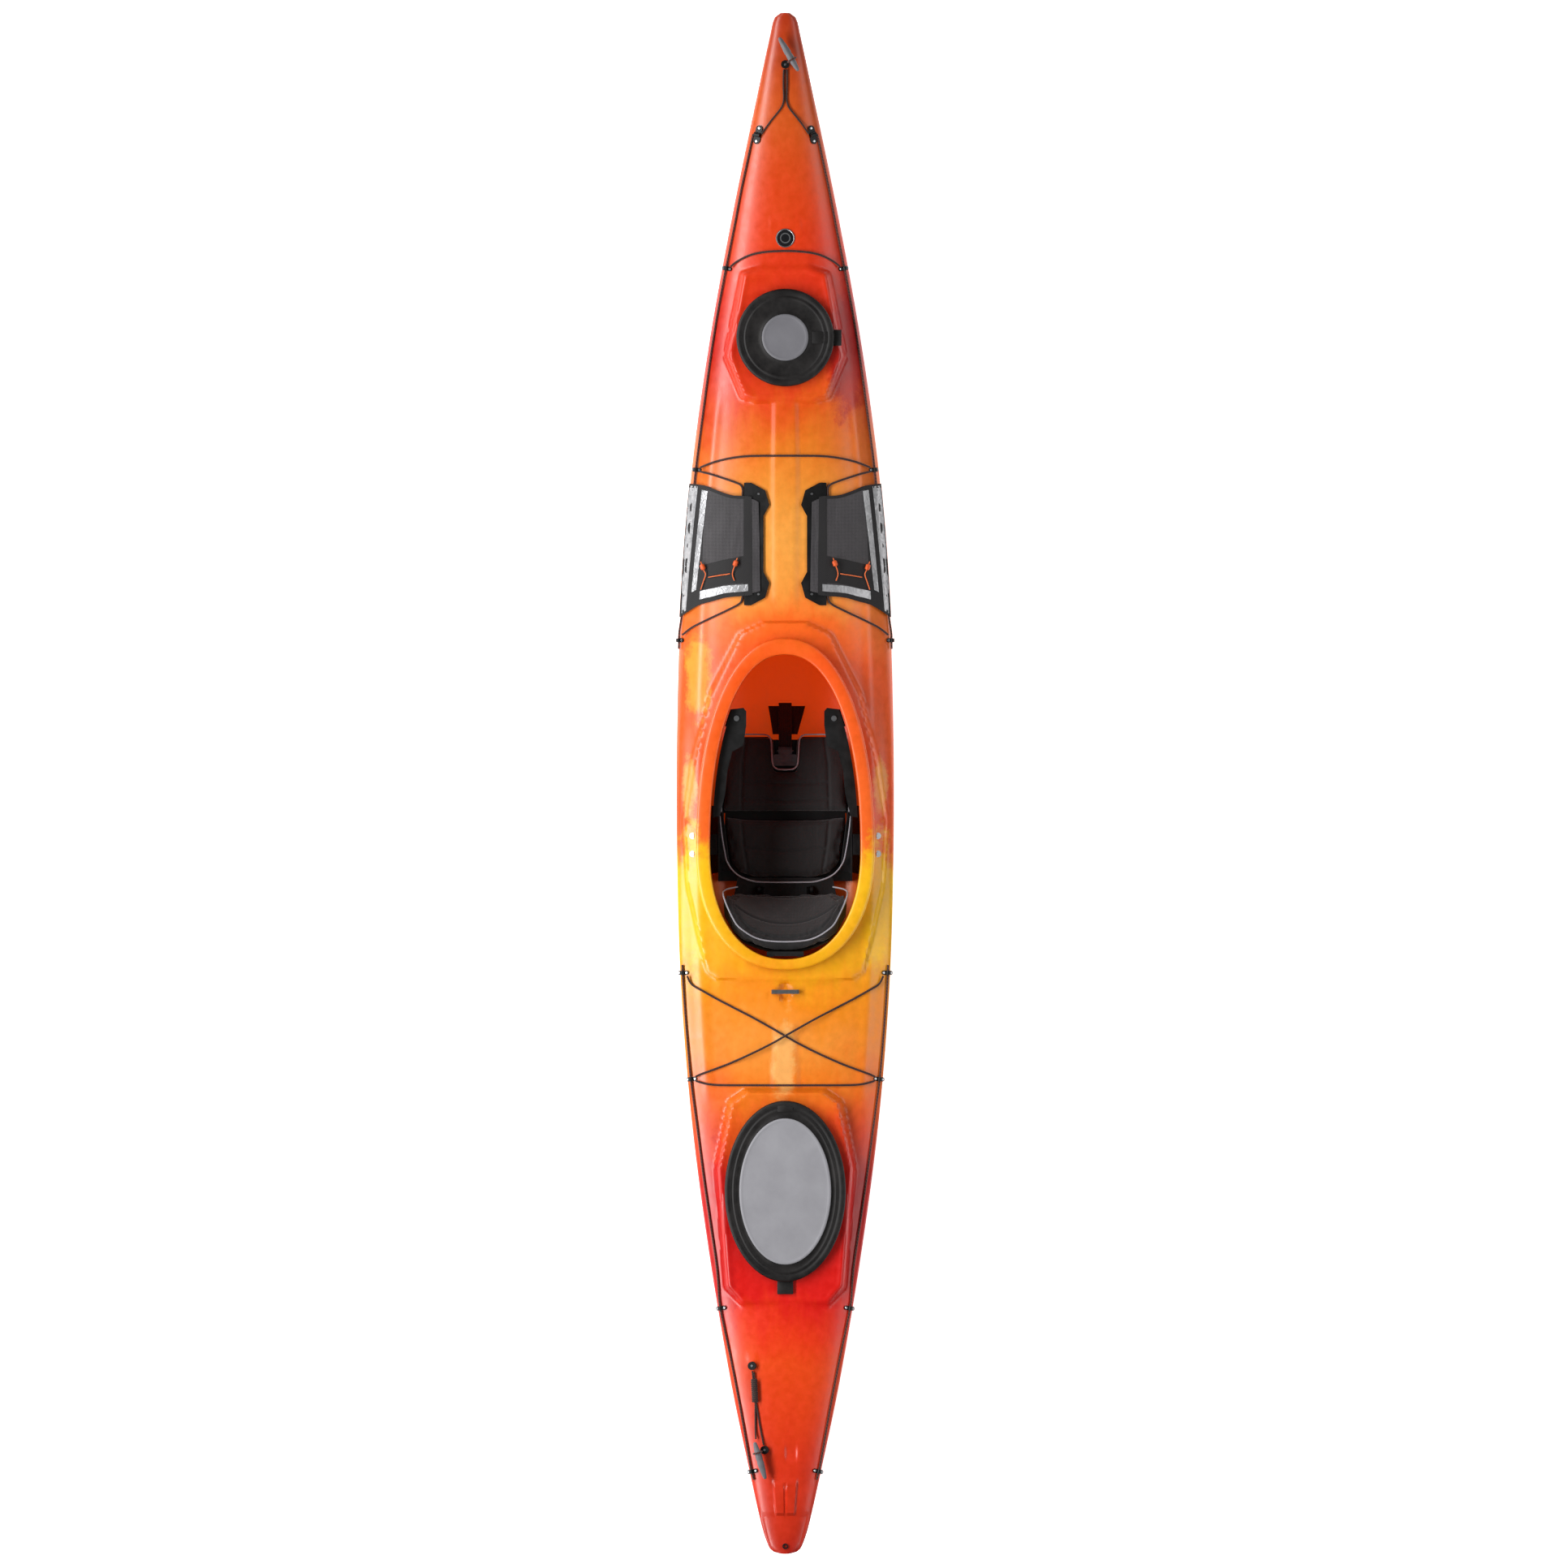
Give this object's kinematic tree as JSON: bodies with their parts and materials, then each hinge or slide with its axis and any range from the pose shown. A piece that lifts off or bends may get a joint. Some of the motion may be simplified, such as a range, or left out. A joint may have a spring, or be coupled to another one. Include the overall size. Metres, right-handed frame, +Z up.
{
  "type": "kayak",
  "caption": "Sit-inside touring kayak with a moulded hull and deck, two rubber hatch lids, an adjustable seat, foot and thigh braces, deck rigging and pouches.",
  "frame": {"origin": "under the keel, midway along the boat and on its centre plane", "axes": "+X to the bow, +Y to port, +Z up"},
  "size_m": [4.42, 0.6298, 0.4419],
  "materials": {
    "hull_plastic": "moulded orange, fading from red at the ends to yellow by the cockpit",
    "bulkhead_foam": "closed-cell foam",
    "black_plastic": "black moulded nylon",
    "hatch_rubber": "soft black rubber",
    "hatch_grey": "satin grey",
    "seat_fabric": "black woven cover over foam",
    "webbing": "black webbing",
    "buckle_grey": "grey moulded",
    "thigh_foam": "closed-cell foam sheet",
    "stainless": "satin stainless steel",
    "cord_black": "braided cord",
    "toggle_grey": "grey moulded",
    "pouch_fabric": "dark grey mesh with reflective tape",
    "cord_orange": "braided orange cord",
    "lock_orange": "orange moulded"
  },
  "bodies": {
    "boat": {"hull_shell": "hull_plastic", "deck_shell": "hull_plastic", "bow_bulkhead": "bulkhead_foam", "stern_bulkhead": "bulkhead_foam", "bow_hatch_rim": "black_plastic", "stern_hatch_rim": "black_plastic", "seat_pan": "black_plastic", "seat_hangers": "black_plastic", "seat_bolts": "stainless", "seat_cushion": "seat_fabric", "backrest_bar": "black_plastic", "brace_brackets": "black_plastic", "brace_pivots": "stainless", "foot_rail_port": "black_plastic", "foot_rail_starboard": "black_plastic", "deck_fittings": "black_plastic", "fitting_screws": "stainless", "bow_deck_lines": "cord_black", "stern_deck_lines": "cord_black", "bow_bungees": "cord_black", "pouch_bungees": "cord_black", "stern_bungees": "cord_black", "bow_toggle_bungee": "cord_black", "stern_lanyard": "cord_black", "security_bar": "stainless", "security_bolts": "stainless", "pouch_mesh_port": "pouch_fabric", "pouch_mesh_starboard": "pouch_fabric", "pouch_plates": "black_plastic", "pouch_screws": "stainless", "pouch_cords": "cord_orange", "rudder_pin_sleeve": "black_plastic", "deck_badge": "hatch_grey"},
    "bow_hatch": {"bow_hatch_lid": "hatch_rubber", "bow_lid_panel": "hatch_grey"},
    "stern_hatch": {"stern_hatch_lid": "hatch_rubber", "stern_lid_panel": "hatch_grey"},
    "leg_lifter": {"leg_lifter_plate": "black_plastic", "leg_lifter_pad": "seat_fabric", "leg_lifter_strap": "webbing", "buckle_base": "buckle_grey"},
    "buckle": {"buckle_lever": "buckle_grey"},
    "backrest": {"backrest_frame": "black_plastic", "backrest_cushion": "seat_fabric"},
    "brace_port": {"thigh_brace_port": "black_plastic", "thigh_pad_port": "thigh_foam"},
    "brace_starboard": {"thigh_brace_starboard": "black_plastic", "thigh_pad_starboard": "thigh_foam"},
    "pedal_port": {"foot_pedal_port": "black_plastic"},
    "pedal_starboard": {"foot_pedal_starboard": "black_plastic"},
    "bow_toggle": {"bow_toggle_handle": "toggle_grey", "bow_toggle_loop": "cord_black"},
    "stern_toggle": {"stern_toggle_handle": "toggle_grey", "stern_toggle_loop": "cord_black"},
    "lock_port_outer": {"cord_lock_port_outer": "lock_orange"},
    "lock_port_inner": {"cord_lock_port_inner": "lock_orange"},
    "lock_starboard_outer": {"cord_lock_starboard_outer": "lock_orange"},
    "lock_starboard_inner": {"cord_lock_starboard_inner": "lock_orange"}
  },
  "joints": [
    {"name": "bow_hatch_lift", "type": "slide", "parent": "boat", "child": "bow_hatch", "axis": [0, 0, 1], "range_m": [0, 0.08]},
    {"name": "stern_hatch_lift", "type": "slide", "parent": "boat", "child": "stern_hatch", "axis": [0, 0, 1], "range_m": [0, 0.08]},
    {"name": "leg_lifter_tilt", "type": "hinge", "parent": "boat", "child": "leg_lifter", "pos_m": [-0.09, 0, 0.0964], "axis": [0, -1, 0], "range_deg": [0, 15]},
    {"name": "buckle_open", "type": "hinge", "parent": "leg_lifter", "child": "buckle", "pos_m": [0.097, 0, 0.0714], "axis": [0, 1, 0], "range_deg": [0, 95]},
    {"name": "backrest_fold", "type": "hinge", "parent": "boat", "child": "backrest", "pos_m": [-0.306, 0, 0.078], "axis": [0, 1, 0], "range_deg": [0, 25]},
    {"name": "thigh_brace_port_swing", "type": "hinge", "parent": "boat", "child": "brace_port", "pos_m": [0.19, 0.14, 0.33309], "axis": [-0.0686, 0, 0.9976], "range_deg": [0, 6]},
    {"name": "thigh_brace_starboard_swing", "type": "hinge", "parent": "boat", "child": "brace_starboard", "pos_m": [0.19, -0.14, 0.33309], "axis": [0.0686, 0, -0.9976], "range_deg": [0, 6]},
    {"name": "foot_pedal_port_slide", "type": "slide", "parent": "boat", "child": "pedal_port", "axis": [1, 0, 0], "range_m": [-0.115, 0.13]},
    {"name": "foot_pedal_starboard_slide", "type": "slide", "parent": "boat", "child": "pedal_starboard", "axis": [1, 0, 0], "range_m": [-0.115, 0.13]},
    {"name": "bow_toggle_swing", "type": "hinge", "parent": "boat", "child": "bow_toggle", "pos_m": [2.063, 0, 0.3993], "axis": [0, 0, 1], "range_deg": [-30, 60]},
    {"name": "stern_toggle_swing", "type": "hinge", "parent": "boat", "child": "stern_toggle", "pos_m": [-1.912, 0.058, 0.3352], "axis": [0, 0, 1], "range_deg": [-40, 40]},
    {"name": "cord_lock_port_outer_slide", "type": "slide", "parent": "boat", "child": "lock_port_outer", "axis": [0.9282, 0.3361, -0.1598], "range_m": [0, 0.006]},
    {"name": "cord_lock_port_inner_slide", "type": "slide", "parent": "boat", "child": "lock_port_inner", "axis": [0.9431, -0.325, 0.0698], "range_m": [0, 0.006]},
    {"name": "cord_lock_starboard_outer_slide", "type": "slide", "parent": "boat", "child": "lock_starboard_outer", "axis": [0.9282, -0.3361, -0.1598], "range_m": [0, 0.006]},
    {"name": "cord_lock_starboard_inner_slide", "type": "slide", "parent": "boat", "child": "lock_starboard_inner", "axis": [0.9431, 0.325, 0.0698], "range_m": [0, 0.006]}
  ]
}
